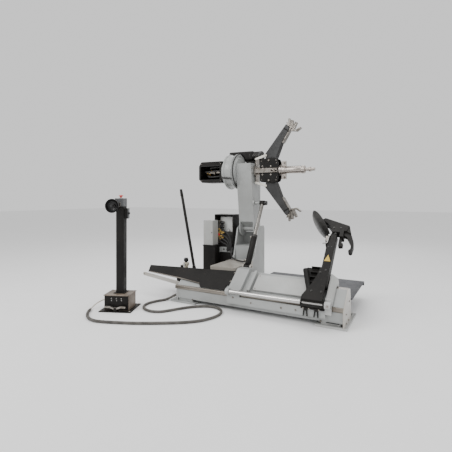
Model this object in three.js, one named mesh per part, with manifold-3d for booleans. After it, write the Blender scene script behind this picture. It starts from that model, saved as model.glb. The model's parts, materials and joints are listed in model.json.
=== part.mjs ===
// Truck tyre changer: a bed with a sliding tool carriage, a hydraulic chuck arm, and a separate control stand.
// Millimetres, +Z up. The origin is on the floor under the middle of the bed, X runs along the bed and
// Y runs back from the bed towards the chuck column.
import * as THREE from 'three';
import { mergeVertices } from 'three/addons/utils/BufferGeometryUtils.js';
import Module from 'manifold-3d';

const wasm = await Module();
wasm.setup();

// ---- Driving dimensions ----
const GAP = 0.3;                                   // play between touching pieces
const RUN = 0.4;                                   // radial play of pins and shafts
const PLATE = 20;                                  // thickness of the floor plates
const BED = { left: -890, right: 888, front: -150, rear: 150, bottom: 45 };
const SLOPE = { y: -134.7, z: 184, angle: Math.atan(0.732) };   // the bed's inclined running face
const GUIDE_SEAT = 144;                            // height of the front guide bar's seat
const REAR_SEAT = 287.7;                           // height of the rear guide bar's seat
const CARRIAGE = { left: -250, right: 792, plateLeft: 140, plateRight: 54, reach: 146 };
const BAR = { y: -200, z: 207, radius: 21 };       // chrome bar that carries the tool arm
const TOOL = { left: 523, right: 735, postLeft: 652, postWidth: 80, lean: 42.6, postEnd: 790 };
const POST_MID = TOOL.postLeft + TOOL.postWidth / 2;
const POST_LIFT = 12.5;                            // post centre line above the chrome bar's axis
const DISC = { x: 540, y: 950, radius: 175, turn: 40 };         // bead disc, in the tool arm's own frame
const PIVOT = { y: 890, z: 750, radius: 30 };      // swing arm's pivot
const CHUCK = { y: 850, z: 1495 };                 // chuck axis, parallel to X
const ARM = { left: -600, right: -390 };           // swing arm's width
const COLUMN = { left: -640, right: -332, wall: 20, rear: 1000, top: 790 };
const LIFT = { x: -270, foot: [340, 360], head: [786, 1087], barrel: 403, rodStart: 330 };
const JAW = { x: -185, radius: 125, half: 46 };     // jaw arm's pivot and half thickness
const STAND = { x: -1274, y: -632, turn: 22.9 };   // control stand's place on the floor
const LEVER = { x: -877, y: 165, z: 285, lean: 11.6, length: 992 };
const CONDUIT = 14;                                // conduit radius
const GLAND = [-110, 60];                          // (y, z) of the conduit gland on the bed's left end
const CABLE = 6;                                   // control cable radius

// ---- Materials ----
const finish = (color, roughness, metalness) => new THREE.MeshStandardMaterial({ color, roughness,
  metalness });
const greyPaint = finish(0xc9cbc6, 0.5, 0.1);
const creamPaint = finish(0xd6d0c2, 0.5, 0.1);
const blackPaint = finish(0x26241f, 0.55, 0.1);
const darkSteel = finish(0x3b3a38, 0.5, 0.6);
const steel = finish(0xb0aca3, 0.35, 0.9);
const wornSteel = finish(0x9c8f78, 0.4, 0.8);
const chrome = finish(0xe2e2e2, 0.12, 1.0);
const blackPlastic = finish(0x151515, 0.45, 0.0);
const whitePlastic = finish(0xe9e8e2, 0.45, 0.0);
const amberPlastic = finish(0xcfc3a4, 0.35, 0.0);
const redPlastic = finish(0xc8322b, 0.35, 0.0);
const conduitGrey = finish(0x5c5a54, 0.6, 0.1);
const cableBeige = finish(0xb8ad95, 0.6, 0.0);

// ---- Solid modelling helpers ----
const rad = THREE.MathUtils.degToRad;
const machine = new THREE.Group();

function toSolid(geometry, matrix) {
  const bare = geometry.clone();
  bare.deleteAttribute('normal');
  bare.deleteAttribute('uv');
  bare.applyMatrix4(matrix);
  const merged = mergeVertices(bare, 1e-4);
  return new wasm.Manifold(new wasm.Mesh({
    numProp: 3,
    vertProperties: new Float32Array(merged.attributes.position.array),
    triVerts: new Uint32Array(merged.index.array),
  }));
}

function block(x, y, z) {
  const box = new THREE.BoxGeometry(x[1] - x[0], y[1] - y[0], z[1] - z[0]);
  const middle = new THREE.Matrix4().makeTranslation((x[0] + x[1]) / 2, (y[0] + y[1]) / 2,
    (z[0] + z[1]) / 2);
  return toSolid(box, middle);
}

// An outline pushed along an axis. Points are (y, z) for axis x, (x, z) for axis y and (x, y) for axis z.
function prism(points, axis, from, to) {
  const shape = new THREE.Shape(points.map(([a, b]) => new THREE.Vector2(a, b)));
  const bar = new THREE.ExtrudeGeometry(shape, { depth: to - from, bevelEnabled: false });
  const frame = {
    x: [[0, 1, 0], [0, 0, 1], [1, 0, 0], [from, 0, 0]],
    y: [[1, 0, 0], [0, 0, 1], [0, -1, 0], [0, to, 0]],
    z: [[1, 0, 0], [0, 1, 0], [0, 0, 1], [0, 0, from]],
  }[axis].map((v) => new THREE.Vector3(...v));
  const matrix = new THREE.Matrix4().makeBasis(frame[0], frame[1], frame[2]).setPosition(frame[3]);
  return toSolid(bar, matrix);
}

function rod(from, to, radius, sides = 12) {
  const start = new THREE.Vector3(...from);
  const along = new THREE.Vector3(...to).sub(start);
  const cylinder = new THREE.CylinderGeometry(radius, radius, along.length(), sides);
  const turn = new THREE.Quaternion().setFromUnitVectors(new THREE.Vector3(0, 1, 0),
    along.clone().normalize());
  return toSolid(cylinder, new THREE.Matrix4().compose(start.addScaledVector(along, 0.5), turn,
    new THREE.Vector3(1, 1, 1)));
}

// A turned piece: the profile's points are (radius, distance along the axis from the start point).
function turned(profile, start, direction, sides = 20) {
  const lathe = new THREE.LatheGeometry(profile.map(([r, h]) => new THREE.Vector2(r, h)), sides);
  const turn = new THREE.Quaternion().setFromUnitVectors(new THREE.Vector3(0, 1, 0),
    new THREE.Vector3(...direction).normalize());
  return toSolid(lathe, new THREE.Matrix4().compose(new THREE.Vector3(...start), turn,
    new THREE.Vector3(1, 1, 1)));
}

// A stepped shaft from (length, radius) steps, solid on its axis.
function shaft(steps, start, direction, sides) {
  const profile = [[0, 0]];
  let at = 0;
  for (const [length, radius] of steps) {
    profile.push([radius, at], [radius, at + length]);
    at += length;
  }
  profile.push([0, at]);
  return turned(profile, start, direction, sides);
}

const join = (...solids) => solids.reduce((a, b) => a.add(b));
const cut = (base, ...tools) => tools.reduce((a, b) => a.subtract(b), base);

function part(name, solid, material, group = machine) {
  const { vertProperties, triVerts, numProp } = solid.getMesh();
  const positions = new Float32Array((vertProperties.length / numProp) * 3);
  for (let i = 0; i < positions.length / 3; i += 1) {
    positions.set(vertProperties.subarray(i * numProp, i * numProp + 3), i * 3);
  }
  const geometry = new THREE.BufferGeometry();
  geometry.setAttribute('position', new THREE.BufferAttribute(positions, 3));
  geometry.setIndex(new THREE.BufferAttribute(new Uint32Array(triVerts), 1));
  geometry.computeVertexNormals();
  const mesh = new THREE.Mesh(geometry, material);
  mesh.name = name;
  group.add(mesh);
}

function arc(centre, radius, from, to, steps) {
  return Array.from({ length: steps + 1 }, (_, i) => {
    const angle = rad(from + ((to - from) * i) / steps);
    return [centre[0] + radius * Math.cos(angle), centre[1] + radius * Math.sin(angle)];
  });
}

// Height of a line that runs parallel to the bed's inclined face, lifted square to it.
const above = (y, lift) => SLOPE.z + (y - SLOPE.y) * Math.tan(SLOPE.angle) + lift / Math.cos(SLOPE.angle);

// A group whose x and y lie in the bed's inclined face, with z square to it.
const incline = new THREE.Group();
incline.position.set(0, SLOPE.y, SLOPE.z);
incline.rotation.x = SLOPE.angle;
machine.add(incline);

// ---- Bed, guides and floor plates ----
const bedOutline = [
  [BED.front, BED.bottom], [BED.rear, BED.bottom], [BED.rear, 75], [114, REAR_SEAT], [40, REAR_SEAT],
  [36, above(36, 0)], [SLOPE.y, SLOPE.z], [SLOPE.y, GUIDE_SEAT], [BED.front, GUIDE_SEAT],
];
part('bed_beam', prism(bedOutline, 'x', BED.left, BED.right), greyPaint);

const leftEndOutline = [[BED.front, PLATE + GAP], [BED.rear, PLATE + GAP], ...bedOutline.slice(2)];
const glandX = [BED.left - 40, BED.left - 11];
part('bed_end_plate_left', cut(
  join(prism(leftEndOutline, 'x', BED.left - 12, BED.left - GAP), rod([glandX[0], ...GLAND], [glandX[1],
    ...GLAND], 22)),
  rod([glandX[0] - 1, ...GLAND], [glandX[1] - 4, ...GLAND], CONDUIT + 5),
), greyPaint);
const rightEndOutline = [
  [-184, PLATE + GAP], [165, PLATE + GAP], [165, 80], [122, 302], [34, 314], [-150, 188], [-184, 150],
];
part('bed_end_plate_right', prism(rightEndOutline, 'x', BED.right + GAP, BED.right + 12), creamPaint);

const guideOutline = [
  [-135, GUIDE_SEAT + GAP], ...arc([-150, GUIDE_SEAT + 10.3], 10, 270, 180, 3), ...arc([-150, 176], 10,
    180, 90, 3),
  [-135, 186],
];
part('front_guide_bar', prism(guideOutline, 'x', BED.left - 30, BED.right), wornSteel);
part('rear_guide_bar', block([BED.left, BED.right], [42, 112], [REAR_SEAT + GAP, 308]), wornSteel);

function footPlate(name, x, blockX, back) {
  const plate = block(x, [-175, back], [0, PLATE]);
  const wedge = block(blockX, [-140, 140], [PLATE - 1, BED.bottom - GAP]);
  const bolts = [[x[0] + 28, back - 60], [x[1] - 28, back - 60]].map(([bx, by]) => rod([bx, by,
    PLATE - 1], [bx, by, PLATE + 16], 14, 6));
  part(name, join(plate, wedge, ...bolts), greyPaint);
}
footPlate('foot_plate_left', [-972, -651], [-880, -700], 149);
footPlate('foot_plate_right', [643, 923], [690, 860], 310);

// ---- Base frame and column ----
const bridgeOutline = [[-650, 150.3], [-332, 150.3], [-332, 639.7], [-650, 639.7]];
const sideOutline = [
  [640, 0], [COLUMN.rear, 0], [COLUMN.rear, 760], [970, COLUMN.top], [850, COLUMN.top], [800, 760], [700,
    420], [640, 372],
];
const columnPlates = [COLUMN.left, COLUMN.right - COLUMN.wall].map((x) => prism(sideOutline, 'x', x,
  x + COLUMN.wall));
const insideX = [COLUMN.left + COLUMN.wall - 1, COLUMN.right - COLUMN.wall + 1];
part('column_base', cut(join(
  ...columnPlates,
  block(insideX, [985, COLUMN.rear], [0, 700]),
  block(insideX, [725, 986], [0, 542]),
  block(insideX, [641, 726], [0, 368]),
), rod([COLUMN.left - 1, PIVOT.y, PIVOT.z], [COLUMN.right + 1, PIVOT.y, PIVOT.z], PIVOT.radius + RUN,
  20)), greyPaint);
part('arm_pivot_pin', shaft([[12, 42], [COLUMN.right - COLUMN.left + 1, PIVOT.radius], [12, 42]],
  [COLUMN.left - 12.5, PIVOT.y, PIVOT.z], [1, 0, 0], 20), steel);

const earOutline = [[300, 309], [380, 309], ...arc(LIFT.foot, 30, 0, 180, 6)];
const clevisEars = [LIFT.x - 55, LIFT.x + 39].map((x) => cut(prism(earOutline, 'x', x, x + 16),
  rod([x - 1, ...LIFT.foot], [x + 17, ...LIFT.foot], 16)));
part('base_bridge', join(prism(bridgeOutline, 'z', 0, 370), block([-333, LIFT.x + 55], [300, 380], [0,
  310]), ...clevisEars), creamPaint);
part('cylinder_foot_pin', rod([LIFT.x - 58, ...LIFT.foot], [LIFT.x + 58, ...LIFT.foot], 15.6), steel);

const ribs = [-150, 350, 640].map((x) => block([x, x + 20], [330, 930], [0, 186]));
part('wheel_platform', join(block([-190, 910], [165, 970], [185, 197]), block([-190, 910], [962, 970],
  [150, 186]), ...ribs,
  block([-60, 60], [-30, 960], [0, PLATE]), block([-10, 10], [200, 930], [PLATE - 1, 186])), blackPaint);

// ---- Hydraulic unit and electrics ----
part('power_unit_cabinet', prism([[-1035, 600], [-850, 600], [-850, 745], [-665, 745], [-665, 950],
  [-1035, 950]], 'z', 0, 535), blackPaint);
part('electrical_box', block([-1031, -887], [602, 740], [535 + GAP, 857]), greyPaint);
part('power_unit_housing', cut(block([-945, -665], [745, 950], [535 + GAP, 932]), block([-933, -677],
  [744, 938], [547, 920])), blackPaint);
const tankOutline = [...arc([-890, 850], 20, 270, 180, 3), ...arc([-890, 915], 20, 180, 90, 3),
  ...arc([-710, 915], 20, 90, 0, 3), ...arc([-710, 850], 20, 0, -90, 3)];
part('oil_tank', join(prism(tankOutline, 'z', 547 + GAP, 898), rod([-800, 880, 897], [-800, 880, 912],
  24, 12)), whitePlastic);
const coils = [720, 770, 820].map((z) => rod([-871, 790, z], [-820, 790, z], 15, 12));
part('valve_block', join(block([-925, -870], [760, 815], [547 + GAP, 850]), ...coils), steel);

// ---- Air service unit, lever and their bracket ----
part('air_service_unit', join(shaft([[8, 30], [70, 26], [12, 34], [28, 38]], [-1060, 250, 240 + GAP], [0,
  0, 1], 20),
  shaft([[34, 22], [10, 28], [34, 20]], [-1122, 250, 240 + GAP], [0, 0, 1], 16),
  rod([-1122, 250, 300], [-1060, 250, 340], 9, 10)), amberPlastic);
part('regulator_knob', shaft([[10, 18], [38, 26], [6, 21]], [-1060, 250, 358 + 2 * GAP], [0, 0, 1], 16),
  blackPlastic);
const leverWay = [-Math.sin(rad(LEVER.lean)), 0, Math.cos(rad(LEVER.lean))];
const alongLever = (d) => [LEVER.x + leverWay[0] * d, LEVER.y, LEVER.z + leverWay[2] * d];
part('lever_socket', cut(join(block([-1150, -800], [152, 290], [228, 240]), block([-1130, -1040], [152,
  160], [0, 229]), block([-860, -790], [152, 160], [0, 229]),
  rod(alongLever(-50), alongLever(60), 21)), rod(alongLever(-20), alongLever(80), 12 + RUN),
block([-960, -800], [130, 151.9], [170, 228]), block([-960, -861], [130, 210], [160, 228])), blackPaint);
const leverTip = new THREE.Vector3(...alongLever(LEVER.length));
part('lever_bar', join(rod(alongLever(-19), alongLever(LEVER.length - 90), 12, 12),
  prism([[leverTip.x + 30, leverTip.z - 92], [leverTip.x + 2, leverTip.z - 86], [leverTip.x - 8,
    leverTip.z], [leverTip.x + 8, leverTip.z]],
    'y', LEVER.y - 15, LEVER.y + 15)), blackPaint);

// ---- Carriage ----
const clear = 8;                                   // running clearance above the bed's inclined face
function crossOutline(front, peak, back, bottom) {
  return [
    [-188, bottom], [-166, bottom], [-166, 194], [-134, 194], [-130, above(-130, clear)], [38, above(38,
      clear)],
    [118, above(38, clear)], [121.5, 255], [CARRIAGE.reach, 255], [CARRIAGE.reach, back], [58, peak],
      [-150, front], [-188, front - 8],
  ];
}
function crossPlate(outline, x, earX) {
  const ear = rod([earX[0], BAR.y, BAR.z], [earX[1], BAR.y, BAR.z], 34, 20);
  const hole = rod([x[0] - 1, BAR.y, BAR.z], [x[1] + 1, BAR.y, BAR.z], BAR.radius + RUN, 20);
  return cut(join(prism(outline, 'x', x[0], x[1]), ear), hole);
}
const leftX = [CARRIAGE.left, CARRIAGE.left + CARRIAGE.plateLeft];
const rightX = [CARRIAGE.right - CARRIAGE.plateRight, CARRIAGE.right];
const between = [leftX[1] + GAP, rightX[0] - GAP];
const apron = join(block([leftX[1] - 1, between[1]], [-188, -168], [85, 160]),
  ...[20, 330, 470].map((x) => rod([x, -169, 122], [x, -191, 122], 11, 8)));
part('carriage_left_plate', join(crossPlate(crossOutline(235, 395, 395, 85), leftX, [leftX[0],
  leftX[0] + 35]), apron), greyPaint);
const slant = prism([[rightX[0] + 6, 92], [rightX[1] + 1, 26], [rightX[1] + 1, 200], [rightX[0] + 6,
  200]], 'y', 20, 500)
  .rotate([THREE.MathUtils.radToDeg(SLOPE.angle), 0, 0]).translate([0, SLOPE.y, SLOPE.z]);
part('carriage_right_plate', cut(crossPlate(crossOutline(268, 435, 345, 120), rightX, rightX), slant),
  greyPaint);
part('carriage_frame', join(block(between, [6, 288], [clear, clear + 6]), block([-45, -15], [12, 276],
  [clear + 5, 56])), greyPaint, incline);
part('carriage_cover', block([5, 655], [43, 241], [clear + 6 + GAP, 37]), greyPaint, incline);
part('tool_guide_bar', rod([-238, BAR.y, BAR.z], [784, BAR.y, BAR.z], BAR.radius, 20), chrome);

const coverOutline = [
  [-250.3, 75], [-250.3, 277], [-1445, 226], [-1409, 120], [-906, 76], [-641, 44], [-603, 3], [-310, 3],
    [-305, 75],
];
part('slide_cover', prism(coverOutline, 'z', 7.5, 11.5), blackPaint, incline);

const railAt = new THREE.Group();
railAt.position.set(BED.left - 14.5, -105, 192);
railAt.rotation.set(0, rad(2.5), rad(180 - 10.5));
machine.add(railAt);
const railLength = 640;
const railOutline = [[0, -20], ...arc([railLength - 20, 0], 20, -90, 90, 6), [40, 20], [0, 16]];
part('outrigger_rail', cut(prism(railOutline, 'y', -7, 7), rod([railLength - 26, -8, 0],
  [railLength - 26, 8, 0], 9, 12)), creamPaint, railAt);

// ---- Tool saddle and tool arm ----
const collarX = [[TOOL.left, TOOL.left + 11], [TOOL.right - 11, TOOL.right]];
function fork(x) {
  const prongs = [-16, 6].map((dx) => prism([[x + dx, 150], [x + dx + 10, 150], [x + dx * 1.6 + 10, 88],
    [x + dx * 1.6, 88]],
    'y', -210, -198));
  return join(block([x - 16, x + 16], [-212, -196], [140, 158]), ...prongs);
}
part('tool_saddle', cut(join(
  ...collarX.map((x) => join(rod([x[0], BAR.y, BAR.z], [x[1], BAR.y, BAR.z], 34, 20), block(x, [-215,
    -192], [156, 200]))),
  block([TOOL.left, TOOL.right], [-215, -192], [156, 167]), fork(566), fork(664),
), rod([TOOL.left - 1, BAR.y, BAR.z], [TOOL.right + 1, BAR.y, BAR.z], BAR.radius + RUN, 20)), blackPaint);

// The tool arm's own frame: x along the chrome bar, y along the post and z square to the post, facing up.
const toolArm = new THREE.Group();
toolArm.position.set(0, BAR.y, BAR.z);
toolArm.rotation.x = rad(TOOL.lean);
machine.add(toolArm);
const sleeveX = [TOOL.left + 11 + GAP, TOOL.right - 11 - GAP];
const postX = [TOOL.postLeft, TOOL.postLeft + TOOL.postWidth];
const postZ = [POST_LIFT - TOOL.postWidth / 2, POST_LIFT + TOOL.postWidth / 2];
const frontOutline = [
  [sleeveX[0], 0], [sleeveX[1], 0], [sleeveX[1], 120], [postX[1], 360], [postX[0] - 6, 360], [628, 260],
  [590, 150], [563, 95], [sleeveX[0], 35],
];
const sleeveGap = [[0, 0], ...arc([0, 0], 90, 100, 148, 3)];
const sleeve = cut(
  join(rod([sleeveX[0], 0, 0], [sleeveX[1], 0, 0], 37, 20), block(sleeveX, [0, 34], [20, postZ[1] + 8])),
  prism(sleeveGap, 'x', sleeveX[0] - 1, sleeveX[1] + 1),
);
const ribOutline = [[20, 8], [40, 0], [150, 0], [166, postZ[0]], [356, postZ[0]], [356, postZ[1] + 4],
  [20, postZ[1] + 4]];
const holderWay = new THREE.Vector3(-0.34, 0.94, 0).normalize();
const holderAt = (d) => new THREE.Vector3(576, 128, 8).addScaledVector(holderWay, d).toArray();
const holder = cut(join(
  rod(holderAt(0), holderAt(240), 27),
  prism([[560, 190], [postX[0] - 5, 190], [postX[0] - 5, 395], [500, 395], [500, 350]], 'z', -20, -10),
  ...[215, 270, 325, 385].map((y) => block([548, postX[0] - 5], [y, y + 8], [-11, 20])),
), rod(holderAt(226), holderAt(249), 20));
part('tool_bracket', join(cut(join(
  sleeve,
  prism(frontOutline, 'z', postZ[1] + GAP, postZ[1] + 10),
  prism(ribOutline, 'x', postX[0] - 10, postX[0] - GAP),
  block(sleeveX, [24, 34], [-4, postZ[1] + 4]),
), rod([TOOL.left, 0, 0], [TOOL.right, 0, 0], BAR.radius + RUN, 20)), holder), blackPaint, toolArm);
part('tool_post', join(block(postX, [168, TOOL.postEnd], postZ),
  block([636, postX[0] + 1], [652, 768], [POST_LIFT - 16, POST_LIFT + 32])), blackPaint, toolArm);

// Tool head with its disc and hook; it turns about the post's centre line.
const headBase = TOOL.postEnd + 34;
const headOutline = [
  [676, headBase], [757, headBase], [757, 765], [795, 765], [795, 842], [822, 842], [841, 913], [581,
    1016], [558, 999],
  [591, 959], [622, 935], [668, 868],
];
part('tool_head', join(prism(headOutline, 'z', POST_LIFT - 42, POST_LIFT + 42),
  shaft([[10, 24], [25, 28]], [POST_MID, TOOL.postEnd + GAP, POST_LIFT], [0, 1, 0], 20),
  block([757, 780], [664, 766], [POST_LIFT - 18, POST_LIFT + 18]),
  rod([774, 668, POST_LIFT - 18], [774, 668, POST_LIFT + 18], 15, 12)), blackPaint, toolArm);
const hookOutline = [
  [823, 842], [848, 838], [872, 800], [896, 730], [904, 660], [896, 592], [880, 578], [862, 592], [862,
    614], [877, 626],
  [880, 660], [868, 700], [826, 782], [796, 794], [796, 841],
];
const hookCap = [[842.5, 912.4], [868, 812], [846, 826], [826, 834], [823.4, 843.5]];
part('hook_tool', join(prism(hookOutline, 'z', POST_LIFT - 22, POST_LIFT + 22), prism(hookCap, 'z',
  POST_LIFT - 36, POST_LIFT + 36)),
  blackPaint, toolArm);
const discWay = [-Math.cos(rad(DISC.turn)), -Math.sin(rad(DISC.turn)), 0];
const discBack = [DISC.x - discWay[0] * 40, DISC.y - discWay[1] * 40, POST_LIFT];
const dish = [
  [0, -4.7], [24, -4.7], [24, 6], [44, 6], [44, 60], [60, 72], [120, 62], [168, 36], [DISC.radius, 40],
    [165, 52], [120, 76],
  [60, 84], [26, 72], [0, 72],
];
part('bead_disc', turned(dish, discBack, discWay, 28), darkSteel, toolArm);
part('lock_lever', join(rod([664, 766, postZ[1] + GAP], [664, 766, postZ[1] + 16], 10, 12),
  rod([664, 766, postZ[1] + 9], [656, 664, postZ[1] + 9], 7, 10), rod([657, 668, postZ[1] + 9], [612,
    650, postZ[1] + 9], 7, 10)),
chrome, toolArm);

// ---- Swing arm with the drive ----
const armOutline = [[690, 1590], [790, 880], ...arc([PIVOT.y, PIVOT.z], 100, 180, 360, 8), [1005, 1590]];
const armGap = [[700, 600], [1010, 600], [1010, 681], [700, 912]];
part('swing_arm', cut(join(
  cut(prism(armOutline, 'x', ARM.left, ARM.right), prism(armGap, 'x', ARM.left + 15, ARM.right - 15)),
  rod([ARM.right - 1, ...LIFT.head], [ARM.right + 17, ...LIFT.head], 40, 20),
), rod([ARM.left - 1, PIVOT.y, PIVOT.z], [ARM.right + 1, PIVOT.y, PIVOT.z], PIVOT.radius + RUN, 20),
rod([ARM.left - 1, CHUCK.y, CHUCK.z], [ARM.right + 1, CHUCK.y, CHUCK.z], 52, 20)), greyPaint);

part('gearbox_case', cut(shaft([[30, 165], [20, 205], [26, 232], [92, 220], [22, 232], [24.7, 180]],
  [-815, CHUCK.y, CHUCK.z], [1, 0, 0], 28), rod([-640, CHUCK.y, CHUCK.z], [-599, CHUCK.y, CHUCK.z], 48,
    20)), greyPaint);
const coverSide = [
  [-1175, CHUCK.z - 95], [-1125, CHUCK.z - 140], [-817, CHUCK.z - 140], [-817, CHUCK.z + 140], [-1135,
    CHUCK.z + 140],
  [-1175, CHUCK.z + 85],
];
const coverInside = [
  [-1165, CHUCK.z - 90], [-1120, CHUCK.z - 131], [-816, CHUCK.z - 131], [-816, CHUCK.z + 131], [-1130,
    CHUCK.z + 131],
  [-1165, CHUCK.z + 80],
];
part('distributor_cover', cut(prism(coverSide, 'y', CHUCK.y - 135, CHUCK.y + 135),
  prism(coverInside, 'y', CHUCK.y - 126, CHUCK.y + 126),
  block([-1150, -850], [CHUCK.y - 136, CHUCK.y - 120], [CHUCK.z - 100, CHUCK.z + 78])), blackPaint);
part('drive_motor', join(
  prism([[1016, 1674], [1040, 1650], [1150, 1650], [1150, 1770], [1134, 1785], [1032, 1785], [1016,
    1770]], 'x', -865, -520),
  rod([-521, 1083, 1715], [-390, 1083, 1715], 62, 20),
  block([-590, -400], [900, 1000], [1590 + GAP, 1604]),
  prism([[940, 1603], [1000, 1603], [1110, 1651], [1020, 1651]], 'x', -590, -400),
), darkSteel);
part('spindle_bearing', turned([[46, 0], [80, 0], [80, 15], [46, 15], [46, 0]], [ARM.right + GAP,
  CHUCK.y, CHUCK.z], [1, 0, 0], 20), steel);

// ---- Lift cylinder ----
const liftWay = new THREE.Vector3(0, LIFT.head[0] - LIFT.foot[0], LIFT.head[1] - LIFT.foot[1]);
const liftLength = liftWay.length();
liftWay.normalize();
const alongLift = (d) => [LIFT.x, LIFT.foot[0] + liftWay.y * d, LIFT.foot[1] + liftWay.z * d];
const barrelProfile = [[0, 26], [35, 26], [35, LIFT.barrel], [24.2, LIFT.barrel], [24.2,
  LIFT.barrel - 17], [28.5, LIFT.barrel - 17],
  [28.5, 60], [0, 60]];
part('lift_barrel', cut(join(turned(barrelProfile, alongLift(0), liftWay.toArray(), 24),
  rod([LIFT.x - 31, ...LIFT.foot], [LIFT.x + 31, ...LIFT.foot], 29, 20)),
rod([LIFT.x - 32, ...LIFT.foot], [LIFT.x + 32, ...LIFT.foot], 16 + RUN)), blackPaint);
part('lift_rod', join(
  shaft([[18, 28], [liftLength - LIFT.rodStart - 38, 23.5]], alongLift(LIFT.rodStart), liftWay.toArray(),
    24),
  rod([LIFT.x - 30, ...LIFT.head], [LIFT.x + 30, ...LIFT.head], 32, 20),
  rod([ARM.right + 18, ...LIFT.head], [LIFT.x, ...LIFT.head], 17),
  rod([LIFT.x, ...LIFT.head], [LIFT.x + 62, ...LIFT.head], 20),
), chrome);

// ---- Chuck ----
const cheek = [
  [-310, -45], [-310, -120], [-290, -145], [-130, -160], [-75, -135], [-60, -90],
  [-60, 90], [-75, 135], [-130, 160], [-290, 145], [-310, 120], [-310, 45],
].map(([x, r]) => [x, CHUCK.z + r]);
const cheekWindow = [[-286, -32], [-70, -32], [-70, 32], [-286, 32]].map(([x, r]) => [x, CHUCK.z + r]);
const bothSides = (make) => [-1, 1].map(make);
part('chuck_hub', join(
  shaft([[309.7, 45], [16, 64], [238, 44], [16, 64]], [-619.7, CHUCK.y, CHUCK.z], [1, 0, 0], 20),
  ...bothSides((s) => {
    const faces = [CHUCK.y + s * 50, CHUCK.y + s * 62].sort((a, b) => a - b);
    return cut(prism(cheek, 'y', ...faces), prism(cheekWindow, 'y', faces[0] - 1, faces[1] + 1));
  }),
  ...bothSides((s) => rod([JAW.x, CHUCK.y - 70, CHUCK.z + s * JAW.radius], [JAW.x, CHUCK.y + 70,
    CHUCK.z + s * JAW.radius], 15, 20)),
), blackPaint);
part('chuck_shaft', cut(join(
  shaft([[18, 58], [30, 50], [200, 44], [6, 40], [40, 49], [8, 32], [40, 20], [26, 30], [49, 20]],
    [-39.7, CHUCK.y, CHUCK.z], [1, 0, 0], 20),
  ...bothSides((s) => block([-36, 22], [CHUCK.y - 16, CHUCK.y + 16], [40,
    112].map((r) => CHUCK.z + s * r).sort((a, b) => a - b))),
), ...bothSides((s) => rod([4, CHUCK.y - 17, CHUCK.z + s * 90], [4, CHUCK.y + 17, CHUCK.z + s * 90], 8,
  12))), steel);

const YOKE = [-372, -360];
part('crosshead', cut(join(
  block(YOKE, [CHUCK.y - 84, CHUCK.y + 84], [CHUCK.z - 60, CHUCK.z + 60]),
  block(YOKE, [CHUCK.y - 44, CHUCK.y + 44], [CHUCK.z - 160, CHUCK.z + 160]),
  ...bothSides((s) => {
    const faces = [CHUCK.y + s * 68, CHUCK.y + s * 82].sort((a, b) => a - b);
    return cut(block([YOKE[1] - 1, -70], faces, [CHUCK.z - 27, CHUCK.z + 27]),
      ...[-150, -103].map((x) => block([x, x + 30], [faces[0] - 1, faces[1] + 1], [CHUCK.z - 15,
        CHUCK.z + 15])));
  }),
), rod([YOKE[0] - 1, CHUCK.y, CHUCK.z], [YOKE[1] + 1, CHUCK.y, CHUCK.z], 47, 20)), steel);

// Jaw outlines are (x, distance from the chuck axis); side is +1 for the upper jaw and -1 for the lower.
const jawArm = [
  [-215, 80], [-245, 205], [32, 558], [62, 535], [70, 497], [-26, 338], [-94, 160], [-132, 95], [-145,
    66], [-180, 54], [-205, 64],
];
const jawHand = [
  [35, 563], [65, 538.5], [73, 500], [92, 472], [162, 462], [214, 500], [206, 514], [158, 480], [124,
    486], [138, 514],
  [164, 572], [150, 580], [122, 526], [106, 516], [116, 556], [114, 604], [98, 606], [92, 558], [82,
    546], [80, 598],
  [70, 632], [56, 628], [60, 580], [48, 576], [38, 590], [28, 584],
];
const jawStrip = [[-22, 339], [-11, 332.5], [89, 500], [79, 507]];
const linkEnds = [[-366, 150], [-232, 190]];
const linkWay = new THREE.Vector2(linkEnds[1][0] - linkEnds[0][0], linkEnds[1][1] - linkEnds[0][1]);
const linkAngle = THREE.MathUtils.radToDeg(linkWay.angle());
const linkOutline = [...arc(linkEnds[0], 13, linkAngle + 90, linkAngle + 270, 6), ...arc(linkEnds[1], 16,
  linkAngle - 90, linkAngle + 90, 6)];
for (const [side, word] of [[1, 'upper'], [-1, 'lower']]) {
  const about = (outline) => outline.map(([x, r]) => [x, CHUCK.z + side * r]);
  const across = (half) => [CHUCK.y - half, CHUCK.y + half];
  const pinHole = rod([JAW.x, CHUCK.y - 60, CHUCK.z + side * JAW.radius], [JAW.x, CHUCK.y + 60,
    CHUCK.z + side * JAW.radius], 15 + RUN, 20);
  part(`jaw_arm_${word}`, cut(prism(about(jawArm), 'y', ...across(JAW.half)), pinHole), darkSteel);
  part(`jaw_claw_${word}`, join(prism(about(jawHand), 'y', ...across(24)), prism(about(jawStrip), 'y',
    ...across(40))), steel);
  const bolts = linkEnds.map(([x, r]) => rod([x, CHUCK.y - 66, CHUCK.z + side * r], [x, CHUCK.y - 57,
    CHUCK.z + side * r], 9, 6));
  part(`jaw_link_${word}`, join(prism(about(linkOutline), 'y', CHUCK.y - 58, CHUCK.y - 46.6), ...bolts),
    creamPaint);
}

// ---- Control stand ----
const stand = new THREE.Group();
stand.position.set(STAND.x, STAND.y, 0);
stand.rotation.z = rad(STAND.turn);
machine.add(stand);
part('stand_base', join(block([-168, 168], [-153, 153], [0, 8]), block([-130, 130], [-100, 100], [7, 156]),
  block([-136, 136], [-108, 108], [155, 162]), block([-16, 16], [-146, -99], [7, 20]),
  rod([0, -146, 34], [0, -99, 34], 5, 12), block([-12, 12], [-146, -141], [19, 42]), block([-12, 12],
    [-112, -99], [19, 42])),
blackPaint, stand);
part('stand_post', cut(join(block([-38, 45], [-20, 63], [162 + GAP, 1061]), block([-46, 46], [-32, 66],
  [1060, 1146]),
  block([44, 80], [-8, 50], [935, 1042])), rod([0, 18, 1126], [0, 18, 1147], 10)), blackPaint, stand);
part('e_stop_button', shaft([[26, 9], [8, 15], [12, 22]], [0, 18, 1135], [0, 0, 1], 20), redPlastic, stand);
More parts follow.
